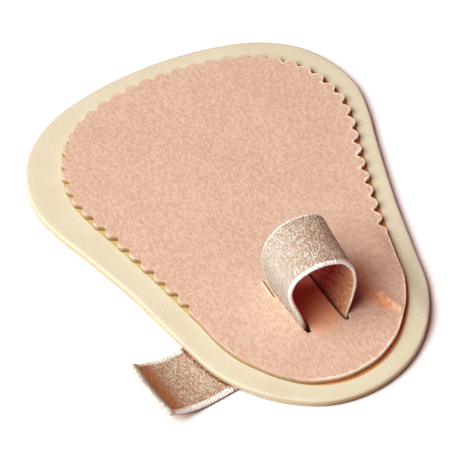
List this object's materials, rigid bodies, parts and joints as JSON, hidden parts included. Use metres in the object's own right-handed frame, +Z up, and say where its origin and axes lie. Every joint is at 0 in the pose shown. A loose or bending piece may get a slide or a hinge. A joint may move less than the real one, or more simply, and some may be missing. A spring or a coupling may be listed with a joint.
{
  "type": "toe straightener",
  "caption": "Pear-shaped foam forefoot pad with a pinked fabric cover and an elastic strap that comes up through slits as a toe loop and runs out to one side as a free tail.",
  "frame": {"origin": "on the pad's flat underside, below the middle of the pad's length and width", "axes": "+Y from the narrow toe end to the wide end, +Z up out of the covered side, +X away from the strap's free tail"},
  "size_m": [0.0714, 0.089, 0.0212],
  "materials": {
    "cream_foam": "matt, skinned foam latex",
    "pink_fabric": "soft brushed nap",
    "woven_elastic": "woven, flecked light and brown"
  },
  "bodies": {
    "root": {"foam_base": "cream_foam", "fabric_cover": "pink_fabric", "elastic_strap": "woven_elastic"}
  },
  "joints": []
}
